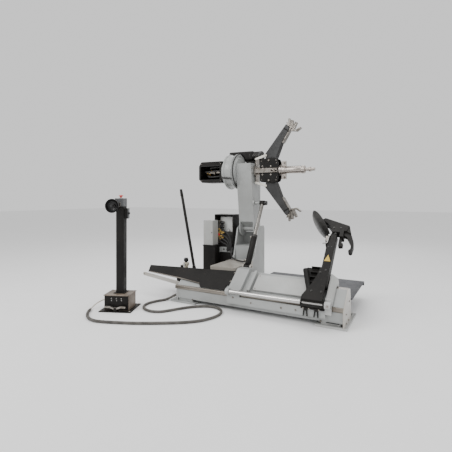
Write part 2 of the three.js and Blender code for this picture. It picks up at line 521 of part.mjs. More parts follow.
const GUARD = { x: -41, y: -58, z: 1070 };
const guardProfile = [[0, 0], [26, 0], [50, 12], [66, 34], [72, 62], [68, 62], [62, 36], [47, 17], [24,
  6], [0, 6]];
part('joystick_guard', join(turned(guardProfile, [GUARD.x, GUARD.y, GUARD.z], [0, -1, 0], 24),
  block([GUARD.x - 10, GUARD.x + 30], [GUARD.y - 3, -32.3], [1062, 1084])), blackPlastic, stand);
part('joystick_gimbal', shaft([[10, 14]], [GUARD.x, GUARD.y - 11, GUARD.z], [0, -1, 0], 16), darkSteel,
  stand);
part('joystick', shaft([[34, 6], [6, 12], [14, 15], [4, 9]], [GUARD.x, GUARD.y - 23.5, GUARD.z], [0, -1,
  0], 12), blackPlastic, stand);
const pedalOutline = [[-108, 40], [-108, 58], [-62, 62], [-16, 46], [16, 46], [62, 62], [108, 58], [108,
  40], [56, 40], [12, 26], [-12, 26], [-56, 40]];
part('foot_pedal', cut(prism(pedalOutline, 'y', -140, -113), rod([0, -141, 34], [0, -112, 34], 5 + RUN,
  12)), steel, stand);

// ---- Conduit and cable between the bed and the stand ----
function tube(name, points, radius, steps, material) {
  const curve = new THREE.CatmullRomCurve3(points.map((p) => new THREE.Vector3(...p)), false,
    'centripetal');
  const ring = new THREE.Shape(arc([0, 0], radius, 0, 315, 7).map(([a, b]) => new THREE.Vector2(a, b)));
  const hose = new THREE.ExtrudeGeometry(ring, { steps, extrudePath: curve, bevelEnabled: false });
  part(name, toSolid(hose, new THREE.Matrix4()), material);
}
const FLOOR = CONDUIT + GAP;
const CONDUIT_ROUTE = [
  [BED.left - 22, ...GLAND], [BED.left - 36, ...GLAND], [BED.left - 50, ...GLAND], [-962, -115, 50],
    [-992, -138, 32], [-1014, -172, 19],
  [-1034, -214, FLOOR],
  [-1062, -262, FLOOR], [-1092, -340, FLOOR], [-1098, -425, FLOOR], [-1062, -510, FLOOR], [-985, -572,
    FLOOR],
  [-885, -590, FLOOR], [-800, -552, FLOOR], [-745, -475, FLOOR], [-690, -380, FLOOR], [-624, -286, FLOOR],
  [-542, -214, FLOOR], [-450, -174, FLOOR], [-360, -184, FLOOR], [-284, -244, FLOOR], [-246, -340, FLOOR],
  [-256, -460, FLOOR], [-314, -586, FLOOR], [-420, -694, FLOOR], [-560, -790, FLOOR], [-690, -868, FLOOR],
  [-820, -936, FLOOR], [-950, -990, FLOOR], [-1070, -1034, FLOOR], [-1170, -1056, FLOOR], [-1270, -1036,
    FLOOR],
  [-1360, -978, FLOOR], [-1432, -908, FLOOR], [-1482, -838, FLOOR],
];
tube('control_conduit', CONDUIT_ROUTE, CONDUIT, 62, conduitGrey);
const CABLE_ROUTE = [
  [-1482.6, -837.2, FLOOR], [-1492, -822, FLOOR], [-1503, -798, 18], [-1508, -768, 30], [-1498, -738,
    48], [-1472, -722, 66],
  [-1438, -712, 83], [-1406.2, -704.6, 92], [-1388.3, -697, 92],
];
tube('control_cable', CABLE_ROUTE, CABLE, 16, cableBeige);

export default machine;
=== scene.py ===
import json
import math

import bmesh
import bpy
from mathutils import Matrix, Vector

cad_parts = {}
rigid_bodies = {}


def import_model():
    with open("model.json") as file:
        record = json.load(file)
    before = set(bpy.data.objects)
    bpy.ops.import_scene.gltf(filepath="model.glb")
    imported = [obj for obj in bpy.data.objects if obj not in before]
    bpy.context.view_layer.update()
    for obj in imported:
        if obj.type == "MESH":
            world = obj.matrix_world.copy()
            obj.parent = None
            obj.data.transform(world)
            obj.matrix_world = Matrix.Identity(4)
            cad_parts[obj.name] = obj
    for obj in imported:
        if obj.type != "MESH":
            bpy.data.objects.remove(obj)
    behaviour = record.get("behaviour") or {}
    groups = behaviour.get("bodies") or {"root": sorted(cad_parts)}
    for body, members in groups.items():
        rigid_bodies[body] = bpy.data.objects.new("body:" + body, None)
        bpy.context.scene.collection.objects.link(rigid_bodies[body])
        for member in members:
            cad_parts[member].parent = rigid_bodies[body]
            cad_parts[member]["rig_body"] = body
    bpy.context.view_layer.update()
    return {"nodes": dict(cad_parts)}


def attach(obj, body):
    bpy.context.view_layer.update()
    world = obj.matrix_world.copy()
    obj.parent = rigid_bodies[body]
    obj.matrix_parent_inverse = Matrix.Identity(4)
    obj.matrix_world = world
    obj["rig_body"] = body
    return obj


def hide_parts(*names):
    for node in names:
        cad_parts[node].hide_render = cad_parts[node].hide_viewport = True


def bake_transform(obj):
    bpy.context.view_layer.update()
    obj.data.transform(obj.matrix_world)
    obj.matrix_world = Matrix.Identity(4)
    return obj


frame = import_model()
MM = 0.001
rad = math.radians

# ---------------------------------------------------------------- camera
camera = bpy.data.objects.new("camera", bpy.data.cameras.new("camera"))
bpy.context.scene.collection.objects.link(camera)
camera.location = (1.48, -3.35, 1.15)
camera.rotation_euler = (rad(90), 0, rad(28.8))
camera.data.lens = 28.27
camera.data.sensor_width = 36
camera.data.shift_y = -0.062
bpy.context.scene.camera = camera

# ---------------------------------------------------------------- local frames
WORLD = Matrix.Identity(4)
INCLINE = Matrix.Translation((0, -134.7, 184)) @ Matrix.Rotation(math.atan(0.732), 4, "X")
TOOL = Matrix.Translation((0, -200, 207)) @ Matrix.Rotation(rad(42.6), 4, "X")
STAND = Matrix.Translation((-1274, -632, 0)) @ Matrix.Rotation(rad(22.9), 4, "Z")
CHUCK = (850, 1495)


# ---------------------------------------------------------------- materials
def surface(name, base, dark, rough, metal=0.0, patch=3.0, spread=0.06, bump=0.12, grain=260.0, coat=0.0,
            specks=None, stretch=(1, 1, 1), gloss=0.5):
    """Principled material with patchy colour, uneven roughness, fine bump and optional worn specks."""
    mat = bpy.data.materials.new(name)
    mat.use_nodes = True
    tree = mat.node_tree
    make, link = tree.nodes.new, tree.links.new
    bsdf = tree.nodes["Principled BSDF"]
    bsdf.inputs["Metallic"].default_value = metal
    bsdf.inputs["Specular IOR Level"].default_value = gloss
    bsdf.inputs["Coat Weight"].default_value = coat
    bsdf.inputs["Coat Roughness"].default_value = 0.12
    place = make("ShaderNodeTexCoord")
    scale = make("ShaderNodeMapping")
    scale.inputs["Scale"].default_value = stretch
    link(place.outputs["Object"], scale.inputs["Vector"])

    def noise(size, detail, roughness=0.55):
        n = make("ShaderNodeTexNoise")
        n.inputs["Scale"].default_value = size
        n.inputs["Detail"].default_value = detail
        n.inputs["Roughness"].default_value = roughness
        link(scale.outputs["Vector"], n.inputs["Vector"])
        return n.outputs["Fac"]

    def mapped(value, low, high, to_low, to_high):
        m = make("ShaderNodeMapRange")
        for key, v in zip(("From Min", "From Max", "To Min", "To Max"), (low, high, to_low, to_high)):
            m.inputs[key].default_value = v
        link(value, m.inputs["Value"])
        return m.outputs["Result"]

    def mix(a, b, factor):
        m = make("ShaderNodeMix")
        m.data_type = "RGBA"
        for socket, v in ((m.inputs[6], a), (m.inputs[7], b)):
            if isinstance(v, tuple):
                socket.default_value = (*v, 1)
            else:
                link(v, socket)
        link(factor, m.inputs[0])
        return m.outputs[2]

    patches = noise(patch, 5)
    colour = mix(dark, base, mapped(patches, 0.5 - spread * 3, 0.5 + spread * 2, 0, 1))
    fine = noise(grain, 3)
    uneven = mapped(noise(patch * 6, 6, 0.65), 0.3, 0.7, -0.07, 0.09)
    add = make("ShaderNodeMath")
    add.operation = "ADD"
    add.use_clamp = True
    add.inputs[1].default_value = rough
    link(uneven, add.inputs[0])
    roughness = add.outputs[0]
    if specks:
        tint, amount, size = specks
        chips = mapped(noise(size, 8, 0.7), 1 - amount - 0.02, 1 - amount + 0.02, 0, 1)
        colour = mix(colour, tint, chips)
    link(colour, bsdf.inputs["Base Color"])
    link(roughness, bsdf.inputs["Roughness"])
    bumps = make("ShaderNodeBump")
    bumps.inputs["Strength"].default_value = bump
    bumps.inputs["Distance"].default_value = 0.002
    link(fine, bumps.inputs["Height"])
    link(bumps.outputs["Normal"], bsdf.inputs["Normal"])
    return mat


GREY = surface("grey_paint", (0.335, 0.345, 0.338), (0.265, 0.27, 0.262), 0.36, bump=0.1, coat=0.25,
               specks=((0.20, 0.185, 0.165), 0.27, 46))
PALE = surface("pale_grey_paint", (0.41, 0.415, 0.405), (0.325, 0.325, 0.31), 0.34, bump=0.1, coat=0.3)
CREAM = surface("cream_paint", (0.42, 0.40, 0.365), (0.315, 0.29, 0.25), 0.33, bump=0.12, coat=0.3,
    patch=2.2,
                specks=((0.20, 0.165, 0.12), 0.26, 38))
LINK = surface("link_paint", (0.66, 0.64, 0.58), (0.54, 0.51, 0.44), 0.3, bump=0.1, coat=0.3, patch=9)
BLACK = surface("black_paint", (0.0135, 0.0122, 0.011), (0.006, 0.0055, 0.005), 0.46, gloss=0.18, bump=0.35,
    grain=420,
                specks=((0.075, 0.060, 0.045), 0.345, 60))
DECK = surface("deck_paint", (0.046, 0.047, 0.054), (0.028, 0.028, 0.033), 0.5, gloss=0.35, bump=0.3,
    grain=500)
JAW = surface("jaw_paint", (0.034, 0.034, 0.034), (0.011, 0.011, 0.011), 0.46, metal=0.1, bump=0.25,
    grain=300, patch=7,
              specks=((0.075, 0.073, 0.07), 0.24, 70))
DARK = surface("dark_steel", (0.060, 0.058, 0.055), (0.025, 0.024, 0.023), 0.34, metal=0.55, bump=0.2,
    grain=200, patch=6)
STEEL = surface("bright_steel", (0.36, 0.335, 0.305), (0.16, 0.142, 0.122), 0.27, metal=1.0, bump=0.16,
    grain=120,
                patch=16, stretch=(1, 1, 1))
BRUSHED = surface("brushed_steel", (0.50, 0.455, 0.42), (0.27, 0.24, 0.215), 0.28, metal=1.0, bump=0.22,
    grain=60, patch=9,
                  stretch=(1, 14, 14))
WORN = surface("worn_steel", (0.29, 0.262, 0.228), (0.085, 0.070, 0.056), 0.3, metal=0.9, bump=0.2,
    grain=90, patch=5,
               stretch=(0.35, 2, 2))
RAM = surface("rod_plate", (0.33, 0.315, 0.295), (0.22, 0.205, 0.185), 0.2, metal=1.0, bump=0.1, grain=90,
    patch=9)
CHROME = surface("chrome_plate", (0.56, 0.55, 0.535), (0.40, 0.39, 0.375), 0.1, metal=1.0, bump=0.02,
    grain=60, patch=4)
PLASTIC = surface("black_plastic", (0.014, 0.014, 0.014), (0.008, 0.008, 0.008), 0.38, bump=0.3, grain=600)
WHITE = surface("tank_plastic", (0.66, 0.665, 0.65), (0.54, 0.535, 0.51), 0.32, bump=0.08, grain=90,
    coat=0.2)
AMBER = surface("bowl_plastic", (0.72, 0.68, 0.56), (0.52, 0.47, 0.36), 0.2, bump=0.04, coat=0.6)
RED = surface("red_plastic", (0.62, 0.035, 0.025), (0.45, 0.02, 0.016), 0.28, bump=0.06, coat=0.5)
YELLOW = surface("yellow_enamel", (0.62, 0.42, 0.05), (0.50, 0.33, 0.035), 0.4, bump=0.06)
BRASS = surface("brass", (0.68, 0.48, 0.17), (0.42, 0.28, 0.09), 0.28, metal=1.0, bump=0.1, patch=20)
CLAW = surface("claw_steel", (0.27, 0.25, 0.225), (0.085, 0.076, 0.066), 0.24, metal=1.0, bump=0.3,
    grain=90, patch=26,
               specks=((0.06, 0.05, 0.042), 0.36, 80))
HOSE = surface("hose_rubber", (0.020, 0.019, 0.018), (0.010, 0.010, 0.010), 0.5, bump=0.3, grain=700)
CONDUIT = surface("conduit_sleeve", (0.105, 0.098, 0.088), (0.055, 0.050, 0.044), 0.42, metal=0.3, bump=0.2,
    grain=300, patch=14)
CABLE = surface("cable_sleeve", (0.50, 0.455, 0.36), (0.36, 0.32, 0.25), 0.5, bump=0.15, grain=400,
    patch=20)
# painted shadow: flat near-black paint laid where holes, slots, vents, sockets and seams would be in shade
PAINTED_SHADOW = surface("shadow_gap", (0.010, 0.010, 0.010), (0.006, 0.006, 0.006), 0.7, bump=0.1)


# ---------------------------------------------------------------- mesh parts, each (vertices, faces)
def box(x, y, z):
    v = [Vector((a, b, c)) for a in x for b in y for c in z]
    return v, [(0, 1, 3, 2), (4, 6, 7, 5), (0, 4, 5, 1), (2, 3, 7, 6), (0, 2, 6, 4), (1, 5, 7, 3)]


def prism(points, axis, low, high):
    """An outline pushed along an axis: (y, z) for x, (x, z) for y and (x, y) for z."""
    order = {"x": lambda a, b, c: (c, a, b), "y": lambda a, b, c: (a, c, b), "z": lambda a, b,
        c: (a, b, c)}[axis]
    n = len(points)
    v = [Vector(order(a, b, end)) for end in (low, high) for a, b in points]
    return v, [tuple(range(n))[::-1], tuple(range(n, 2 * n))] + [(i, (i + 1) % n, n + (i + 1) % n,
        n + i) for i in range(n)]


def lathe(profile, start, way, sides=48):
    """(radius, distance) points turned about the line from start along way; ends on the axis are closed."""
    way = Vector(way).normalized()
    side = way.orthogonal().normalized()
    other = way.cross(side)
    v, rings = [], []
    for r, h in profile:
        centre = Vector(start) + way * h
        if r < 1e-6:
            rings.append([len(v)])
            v.append(centre)
        else:
            rings.append(list(range(len(v), len(v) + sides)))
            v += [centre + (side * math.cos(t) + other * math.sin(t)) * r
                  for t in (2 * math.pi * i / sides for i in range(sides))]
    f = []
    for a, b in zip(rings, rings[1:]):
        for i in range(sides):
            j = (i + 1) % sides
            quad = [a[i % len(a)], a[j % len(a)], b[j % len(b)], b[i % len(b)]]
            face = [q for k, q in enumerate(quad) if q != quad[k - 1]]
            if len(face) > 2:
                f.append(tuple(face))
    return v, f


def rod(a, b, r, sides=24, chamfer=1.0):
    a, b = Vector(a), Vector(b)
    length = (b - a).length
    c = min(chamfer, r * 0.4, length * 0.4)
    return lathe([(0, 0), (r - c, 0), (r, c), (r, length - c), (r - c, length), (0, length)], a, b - a,
        sides)


def bolt(at, way, r=8, height=7):
    """A hex head on a washer, with a chamfered crown."""
    way = Vector(way).normalized()
    at = Vector(at)
    washer = rod(at, at + way * 1.6, r * 1.35, 20, 0.4)
    head = lathe([(0, 0), (r, 0), (r, height * 0.8), (r * 0.82, height), (0, height)], at + way * 1.4, way,
        6)
    return merged([washer, head])


def merged(parts):
    v, f = [], []
    for pv, pf in parts:
        n = len(v)
        v += pv
        f += [tuple(n + i for i in face) for face in pf]
    return v, f


def sweep(points, r, sides=14, ripple=0.0, pitch=6.0):
    """A round tube that follows points, its ends closed; ripple makes it corrugated."""
    pts = [Vector(p) for p in points]
    v, f, rings = [], [], []
    way = (pts[1] - pts[0]).normalized()
    side = way.orthogonal().normalized()
    for i, p in enumerate(pts):
        ahead = (pts[min(i + 1, len(pts) - 1)] - pts[max(i - 1, 0)]).normalized()
        side = (side - ahead * side.dot(ahead)).normalized()
        other = ahead.cross(side)
        radius = r - (ripple if i % 2 else 0)
        rings.append(len(v))
        v += [p + (side * math.cos(t) + other * math.sin(t)) * radius
              for t in (2 * math.pi * k / sides for k in range(sides))]
    for a, b in zip(rings, rings[1:]):
        f += [(a + k, a + (k + 1) % sides, b + (k + 1) % sides, b + k) for k in range(sides)]
    f += [tuple(range(sides))[::-1], tuple(rings[-1] + k for k in range(sides))]
    return v, f


def smooth_line(points, step):
    """Centripetal Catmull-Rom points through the given ones, about one step apart."""
    p = [Vector(q) for q in points]
    p = [p[0] * 2 - p[1]] + p + [p[-1] * 2 - p[-2]]
    line = []
    for a, b, c, d in zip(p, p[1:], p[2:], p[3:]):
        t0, t1, t2 = ((w - u).length ** 0.5 for u, w in ((a, b), (b, c), (c, d)))
        m1 = ((b - a) / t0 - (c - a) / (t0 + t1) + (c - b) / t1) * t1
        m2 = ((c - b) / t1 - (d - b) / (t1 + t2) + (d - c) / t2) * t1
        count = max(2, round((c - b).length / step))
        for i in range(count):
            s = i / count
            line.append(b + m1 * s + (c * 3 - b * 3 - m1 * 2 - m2) * s * s
                        + (b * 2 - c * 2 + m1 + m2) * s ** 3)
    return line + [p[-2]]


# ---------------------------------------------------------------- pieces
def dress(obj, mat, body, edge, sharp=34):
    """Smooth shading with hard edges, a bevel edge mm wide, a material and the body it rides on."""
    me = obj.data
    me.materials.clear()
    me.materials.append(mat)
    for p in me.polygons:
        p.use_smooth = True
    me.set_sharp_from_angle(angle=rad(sharp))
    if edge:
        mod = obj.modifiers.new("edges", "BEVEL")
        mod.width = edge * MM
        mod.segments = 2
        mod.limit_method = "ANGLE"
        mod.angle_limit = rad(sharp)
        mod.harden_normals = True
    if body:
        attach(obj, body)
    return obj


def piece(name, parts, mat, body, edge=1.0, within=WORLD, replaces=()):
    """One object from mesh parts, placed by a local frame, riding on a CAD body."""
    v, f = merged(parts)
    me = bpy.data.meshes.new(name)
    me.from_pydata([(within @ p) * MM for p in v], [], f)
    bm = bmesh.new()
    bm.from_mesh(me)
    bmesh.ops.recalc_face_normals(bm, faces=bm.faces)
    bm.to_mesh(me)
    bm.free()
    obj = bpy.data.objects.new(name, me)
    bpy.context.scene.collection.objects.link(obj)
    dress(obj, mat, body, edge)
    if replaces:
        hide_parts(*replaces)
    return obj


def refine(node, mat, edge=1.5, sharp=34):
    """A CAD node's own shape with merged facets, rounded edges and a finished material."""
    source = frame["nodes"][node]
    bm = bmesh.new()
    bm.from_mesh(source.data)
    bmesh.ops.remove_doubles(bm, verts=bm.verts, dist=0.00002)
    bmesh.ops.dissolve_limit(bm, angle_limit=rad(0.8), verts=bm.verts, edges=bm.edges)
    me = bpy.data.meshes.new(node + "_skin")
    bm.to_mesh(me)
    bm.free()
    obj = bpy.data.objects.new(node + "_skin", me)
    bpy.context.scene.collection.objects.link(obj)
    dress(obj, mat, source["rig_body"], edge, sharp)
    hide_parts(node)
    return obj


# ---------------------------------------------------------------- conduit and cable
FLOOR = 14.3
CONDUIT_ROUTE = [
    (-912, -110, 60), (-926, -110, 60), (-940, -110, 60), (-962, -115, 50), (-992, -138, 32),
        (-1014, -172, 19),
    (-1034, -214, FLOOR), (-1062, -262, FLOOR), (-1092, -340, FLOOR), (-1098, -425, FLOOR),
        (-1062, -510, FLOOR),
    (-985, -572, FLOOR), (-885, -590, FLOOR), (-800, -552, FLOOR), (-745, -475, FLOOR), (-690, -380, FLOOR),
    (-624, -286, FLOOR), (-542, -214, FLOOR), (-450, -174, FLOOR), (-360, -184, FLOOR), (-284, -244, FLOOR),
    (-246, -340, FLOOR), (-256, -460, FLOOR), (-314, -586, FLOOR), (-420, -694, FLOOR), (-560, -790, FLOOR),
    (-690, -868, FLOOR), (-820, -936, FLOOR), (-950, -990, FLOOR), (-1070, -1034, FLOOR),
        (-1170, -1056, FLOOR),
    (-1270, -1036, FLOOR), (-1360, -978, FLOOR), (-1432, -908, FLOOR), (-1482, -838, FLOOR),
]
CABLE_ROUTE = [
    (-1482.6, -837.2, FLOOR), (-1492, -822, FLOOR), (-1503, -798, 18), (-1508, -768, 30), (-1498, -738, 48),
    (-1472, -722, 66), (-1438, -712, 83), (-1406.2, -704.6, 92), (-1388.3, -697, 92),
]


conduit_line = smooth_line(CONDUIT_ROUTE, 4.5)
conduit = piece("conduit", [sweep(conduit_line, 13.9, 16, ripple=1.5)], CONDUIT, "frame",
    edge=0,
                replaces=("control_conduit",))
cable_line = smooth_line(CABLE_ROUTE, 4)
cable = piece("cable", [sweep(cable_line, 5.9, 14)], CABLE, "frame", edge=0,
    replaces=("control_cable",))
end, before = conduit_line[-1], conduit_line[-6]
ferrule = piece("conduit_ferrule", [rod(before, end + (end - before) * 0.15, 14.2, 32, 1.5)], CHROME,
    "frame", 0)

# ---------------------------------------------------------------- the CAD shapes that stay, dressed
for node, mat, edge in (
    ("bed_beam", GREY, 3), ("bed_end_plate_left", PALE, 1.5), ("bed_end_plate_right", CREAM, 1.5),
    ("front_guide_bar", WORN, 1.5), ("rear_guide_bar", BRUSHED, 1.5), ("foot_plate_left", GREY, 1.5),
    ("foot_plate_right", PALE, 1.5), ("base_bridge", CREAM, 3), ("column_base", GREY, 2),
        ("wheel_platform", DECK, 1.5),
    ("power_unit_cabinet", BLACK, 2), ("power_unit_housing", BLACK, 1.5), ("oil_tank", WHITE, 3),
        ("valve_block", STEEL, 1),
    ("electrical_box", PALE, 4), ("lever_socket", BLACK, 1), ("lever_bar", BLACK, 1),
        ("outrigger_rail", CREAM, 1.2),
    ("carriage_left_plate", GREY, 2), ("carriage_right_plate", PALE, 2), ("carriage_frame", GREY, 1.2),
    ("carriage_cover", PALE, 3), ("slide_cover", BLACK, 0.8), ("tool_saddle", BLACK, 1.2),
        ("tool_bracket", BLACK, 1.2),
    ("tool_post", BLACK, 3), ("tool_head", BLACK, 2.5), ("hook_tool", BLACK, 4),
        ("lock_lever", CHROME, 0.8),
    ("swing_arm", GREY, 4), ("distributor_cover", BLACK, 2), ("drive_motor", BLACK, 3),
        ("chuck_hub", BLACK, 1.5),
    ("crosshead", STEEL, 1.2), ("jaw_arm_upper", JAW, 3), ("jaw_arm_lower", JAW, 3),
        ("jaw_claw_upper", CLAW, 1.5),
    ("jaw_claw_lower", CLAW, 1.5), ("jaw_link_upper", LINK, 1), ("jaw_link_lower", LINK, 1), 
    ("stand_post", BLACK, 2), ("foot_pedal", STEEL, 2), ("joystick_gimbal", DARK, 0.6),
        ("cylinder_foot_pin", STEEL, 1),
    ("spindle_bearing", STEEL, 1),
):
    refine(node, mat, edge)

# ---------------------------------------------------------------- turned pieces
X_WAY, UP = (1, 0, 0), (0, 0, 1)
piece("gearbox_skin", [lathe([
    (0, 0), (150, 0), (163, 4), (165, 30), (196, 31), (205, 38), (205, 50), (226, 51), (232, 56), (232, 71),
        (228, 76),
    (221, 78), (216, 100), (214, 122), (216, 146), (221, 166), (228, 168), (232, 173), (232, 186),
        (226, 190), (186, 192),
    (180, 198), (178, 214), (50, 214.6), (50, 176), (0, 176),
], (-815, *CHUCK), X_WAY, 96)], GREY, "chuck_arm", 0.8, replaces=("gearbox_case",))
piece("disc_skin", [lathe([
    (0, -4.7), (23, -4.7), (24, -3.5), (24, 6), (42, 6), (44, 8), (44, 58), (48, 62), (60, 70), (90, 68),
        (120, 60), (150, 46),
    (168, 36.5), (172, 36.2), (175, 40), (174, 44), (165, 52), (145, 65), (120, 75), (90, 82), (62, 86),
        (30, 88.4), (0, 89),
], (540 + 40 * math.cos(rad(40)), 950 + 40 * math.sin(rad(40)), 12.5),
    (-math.cos(rad(40)), -math.sin(rad(40)), 0), 96)],
      DARK, "disc", 0, TOOL, replaces=("bead_disc",))
piece("guide_bar_skin", [lathe([(0, 0), (17, 0), (21, 3), (21, 1019), (17, 1022), (8, 1022), (6, 1016),
    (0, 1016)],
                               (-238, -200, 207), X_WAY, 64)], CHROME, "carriage", 0,
                                   replaces=("tool_guide_bar",))
LIFT_WAY = (0, 446, 727)
piece("cylinder_skin", [
    lathe([(0, 26), (33, 26), (35, 29), (35, 330), (34, 331), (34, 336), (35, 337), (35, 400), (33, 403),
        (24.4, 403),
           (24.4, 386), (28.5, 386), (28.5, 60), (0, 60)], (-270, 340, 360), LIFT_WAY, 64),
    lathe([(16.6, 0), (27, 0), (29, 2), (29, 60), (27, 62), (16.6, 62), (16.6, 0)], (-301, 340, 360), X_WAY,
        40),
], BLACK, "cylinder", 0, replaces=("lift_barrel",))
piece("ram_skin", [
    lathe([(0, 330), (28, 330), (28, 348), (23.5, 348), (23.5, 828), (0, 828)], (-270, 340, 360), LIFT_WAY,
        64),
], RAM, "ram", 0, replaces=("lift_rod",))
piece("ram_eye", [lathe([(0, 0), (30, 0), (32, 2), (32, 58), (30, 60), (0, 60)], (-300, 786, 1087), X_WAY,
    48)], BLACK,
      "ram", 0)
piece("ram_pin", [rod((-372, 786, 1087), (-300, 786, 1087), 17, 40)], GREY, "ram", 0)
piece("ram_pin_cap", [lathe([(0, 0), (24, 0), (27, 3), (27, 28), (24, 31), (0, 31)], (-239.5, 786, 1087),
    X_WAY, 40)],
      PLASTIC, "ram", 0)
piece("pivot_pin_skin", [lathe([
    (0, 0), (34, 0), (40, 3), (42, 8), (42, 12), (30, 12), (30, 321), (0, 321),
], (-652.5, 890, 750), X_WAY, 56)], GREY, "frame", 0, replaces=("arm_pivot_pin",))
piece("chuck_shaft_skin", [lathe([
    (0, 0), (56, 0), (58, 2), (58, 16), (56, 18), (50, 18.5), (50, 48), (44, 50), (43, 60), (44, 62),
        (44, 244), (42, 248),
    (40, 254), (47, 256), (49, 258), (49, 292), (46, 296), (32, 297), (32, 304), (20, 306), (20, 342),
        (22, 344), (30, 346),
    (30, 368), (27, 371), (20, 372), (20, 412), (16, 417), (0, 417),
], (-39.7, *CHUCK), X_WAY, 56)] + [
    box((-36, 22), (834, 866), sorted((1495 + s * 44, 1495 + s * 112))) for s in (-1, 1)
], BRUSHED, "chuck", 1, replaces=("chuck_shaft",))
piece("filter_bowl_skin", [
    lathe([(0, 0), (24, 0), (29, 5), (30, 8), (27, 12), (26, 20), (26, 70), (27, 76), (33, 79), (35, 84),
        (36, 90), (38, 94),
           (38, 114), (34, 118), (0, 118)], (-1060, 250, 240.3), UP, 40),
    rod((-1120, 250, 318), (-1060, 250, 336), 9, 20),
], AMBER, "frame", 0, replaces=("air_service_unit",))
piece("lubricator", [lathe([(0, 0), (18, 0), (22, 4), (22, 34), (27, 36), (28, 44), (22, 47), (20, 52),
    (20, 74), (15, 78), (0, 78)],
                           (-1122, 250, 240.3), UP, 40)], PLASTIC, "frame", 0)
piece("regulator_skin", [lathe([(0, 0), (17, 0), (18, 2), (18, 10), (24, 12), (26, 15), (26, 44), (23, 48),
    (21, 54), (0, 54)],
                               (-1060, 250, 358.6), UP, 40)] + [
    box((-1060 + 26 * math.cos(a) - 1.5, -1060 + 26 * math.cos(a) + 1.5),
        (250 + 26 * math.sin(a) - 1.5, 250 + 26 * math.sin(a) + 1.5),
            (373, 400)) for a in (rad(15 * k) for k in range(24))
], PLASTIC, "knob", 0, replaces=("regulator_knob",))


def on(node):
    return frame["nodes"][node]["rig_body"]


def bolts(name, spots, way, r, body, height=6, mat=STEEL, within=WORLD):
    return piece(name, [bolt(p, way, r, height) for p in spots], mat, body, 0.3, within)


# ---------------------------------------------------------------- chuck
AXIS_Y, AXIS_Z = CHUCK
piece("hub_spindle", [
    lathe([(0, 0), (45.4, 0), (45.4, 246), (44, 248), (44, 252), (45.4, 254), (45.4, 309), (63, 309.3),
        (64.6, 311),
           (64.6, 325), (63, 326.6), (52, 327), (50, 330), (46, 332), (44.8, 338), (44.8, 560), (50, 563),
               (63, 563.5),
           (64.6, 565), (64.6, 578), (63, 579.4), (0, 579.4)], (-619.5, *CHUCK), X_WAY, 64),
], BRUSHED, "chuck", 0)
piece("hub_bronze_sleeve", [lathe([(44, 0), (47, 0), (47.6, 1), (47.6, 70), (47, 71), (44, 71)],
    (-265, *CHUCK), X_WAY, 56)],
      WORN, "chuck", 0)
piece("hub_clamp_rings", [
    lathe([(44, 0), (48.5, 0), (50, 1.5), (50, 16.5), (48.5, 18), (44, 18)], (x, *CHUCK), X_WAY,
        48) for x in (-182, -140, -104)
], STEEL, "chuck", 0)
for side, word in ((-1, "front"), (1, "rear")):
    way = (0, side, 0)
    bolts(f"cheek_bolts_{word}", [(x, AXIS_Y + side * 62, AXIS_Z + z) for x in (-272, -160) for z in (-52,
        52)], way, 8.5,
          "chuck", 6)
    bolts(f"cheek_screws_{word}", [(x, AXIS_Y + side * 62, AXIS_Z + s * z) for s in (-1, 1)
                                   for x, z in ((-288, 118), (-90, 122), (-84, 88))], way, 4.5, "chuck", 3)
    piece(f"jaw_pin_caps_{word}", [
        rod((-185, AXIS_Y + side * 69.6, AXIS_Z + s * 125), (-185, AXIS_Y + side * 74, AXIS_Z + s * 125),
            12.5, 32, 1.5)
        for s in (-1, 1)], STEEL, "chuck", 0)
bolts("shaft_lug_pins", [(4, AXIS_Y - 16, AXIS_Z + s * 90) for s in (-1, 1)], (0, -1, 0), 11, "chuck", 7)
piece("shaft_key", [box((30, 250), (AXIS_Y - 6, AXIS_Y + 6), (AXIS_Z + 40, AXIS_Z + 46.5))], DARK, "chuck",
    0.8)

